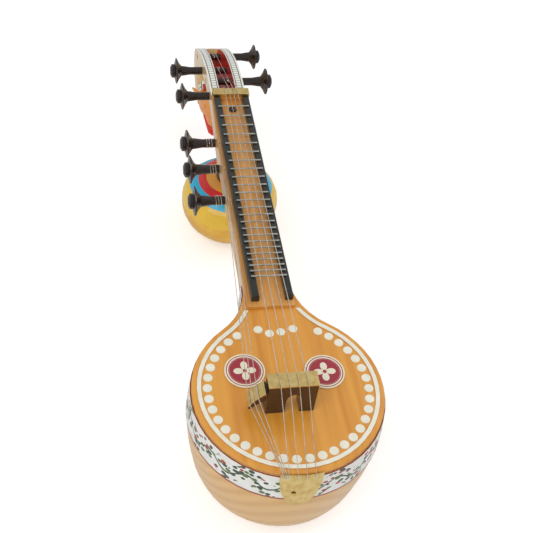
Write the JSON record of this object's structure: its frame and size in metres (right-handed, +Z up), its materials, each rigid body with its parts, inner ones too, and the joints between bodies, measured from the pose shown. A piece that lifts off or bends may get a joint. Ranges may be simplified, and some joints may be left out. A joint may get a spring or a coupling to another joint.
{
  "type": "veena",
  "caption": "Small showpiece veena: round bowl, fretted neck, curved pegbox with a dragon head, resonator gourd, tuning pegs that turn, bridge and strings.",
  "frame": {"origin": "on the table, at the centre of the bounding box's bottom", "axes": "+Y from the tail to the pegbox, +X to the right with the strings up, +Z up, square to the soundboard"},
  "size_m": [0.1202, 0.4548, 0.1257],
  "materials": {
    "black_wax": "hard black wax, softly glossy",
    "bowl_wood": "satin lacquer",
    "brass": "polished",
    "dark_wood": "dark stain, glossy",
    "dragon_paint": "glossy paint on wood",
    "fret_wire": "polished wire",
    "fretboard_wood": "satin lacquer",
    "gourd_paint": "glossy paint",
    "neck_wood": "satin lacquer",
    "paper_band": "printed band under lacquer",
    "peg_wood": "dark stain, glossy",
    "screw_steel": "darkened",
    "soundboard_wood": "gloss lacquer",
    "string_steel": "drawn wire",
    "white_inlay": "smooth, slightly glossy"
  },
  "bodies": {
    "root": {"bowl": "bowl_wood", "bridge": "dark_wood", "bridge_plate": "brass", "edge_inlay": "white_inlay", "fret_01": "fret_wire", "fret_02": "fret_wire", "fret_03": "fret_wire", "fret_04": "fret_wire", "fret_05": "fret_wire", "fret_06": "fret_wire", "fret_07": "fret_wire", "fret_08": "fret_wire", "fret_09": "fret_wire", "fret_10": "fret_wire", "fret_11": "fret_wire", "fret_12": "fret_wire", "fret_13": "fret_wire", "fret_14": "fret_wire", "fret_15": "fret_wire", "fret_16": "fret_wire", "fret_17": "fret_wire", "fret_18": "fret_wire", "fret_19": "fret_wire", "fret_20": "fret_wire", "fret_21": "fret_wire", "fret_22": "fret_wire", "fret_23": "fret_wire", "fret_24": "fret_wire", "fretboard": "fretboard_wood", "gourd": "gourd_paint", "gourd_cup": "dark_wood", "neck": "neck_wood", "neck_screw": "screw_steel", "nut": "brass", "pegbox": "neck_wood", "rail_left": "black_wax", "rail_right": "black_wax", "rosette_left": "white_inlay", "rosette_right": "white_inlay", "side_band": "paper_band", "soundboard": "soundboard_wood", "string_main_1": "string_steel", "string_main_2": "string_steel", "string_main_3": "string_steel", "string_main_4": "string_steel", "string_tala_1": "string_steel", "string_tala_2": "string_steel", "string_tala_3": "string_steel", "tail_nail": "brass", "tailpiece": "brass", "tala_bridge": "dark_wood", "tala_plate": "brass", "yali_head": "dragon_paint"},
    "peg_main_1_body": {"peg_main_1": "peg_wood"},
    "peg_main_2_body": {"peg_main_2": "peg_wood"},
    "peg_main_3_body": {"peg_main_3": "peg_wood"},
    "peg_main_4_body": {"peg_main_4": "peg_wood"},
    "peg_tala_1_body": {"peg_tala_1": "peg_wood"},
    "peg_tala_2_body": {"peg_tala_2": "peg_wood"},
    "peg_tala_3_body": {"peg_tala_3": "peg_wood"}
  },
  "joints": [
    {"name": "peg_main_1_turn", "type": "hinge", "parent": "root", "child": "peg_main_1_body", "pos_m": [-0.0138, 0.123, 0.09079], "axis": [1, 0, 0], "continuous": true},
    {"name": "peg_main_2_turn", "type": "hinge", "parent": "root", "child": "peg_main_2_body", "pos_m": [0.0138, 0.14537, 0.08771], "axis": [1, 0, 0], "continuous": true},
    {"name": "peg_main_3_turn", "type": "hinge", "parent": "root", "child": "peg_main_3_body", "pos_m": [-0.0138, 0.16888, 0.08126], "axis": [1, 0, 0], "continuous": true},
    {"name": "peg_main_4_turn", "type": "hinge", "parent": "root", "child": "peg_main_4_body", "pos_m": [0.0138, 0.20086, 0.07184], "axis": [1, 0, 0], "continuous": true},
    {"name": "peg_tala_1_turn", "type": "hinge", "parent": "root", "child": "peg_tala_1_body", "pos_m": [-0.0158, 0.06619, 0.0908], "axis": [1, 0, 0], "continuous": true},
    {"name": "peg_tala_2_turn", "type": "hinge", "parent": "root", "child": "peg_tala_2_body", "pos_m": [-0.0164, 0.03719, 0.0908], "axis": [1, 0, 0], "continuous": true},
    {"name": "peg_tala_3_turn", "type": "hinge", "parent": "root", "child": "peg_tala_3_body", "pos_m": [-0.0164, 0.00419, 0.0908], "axis": [1, 0, 0], "continuous": true}
  ]
}
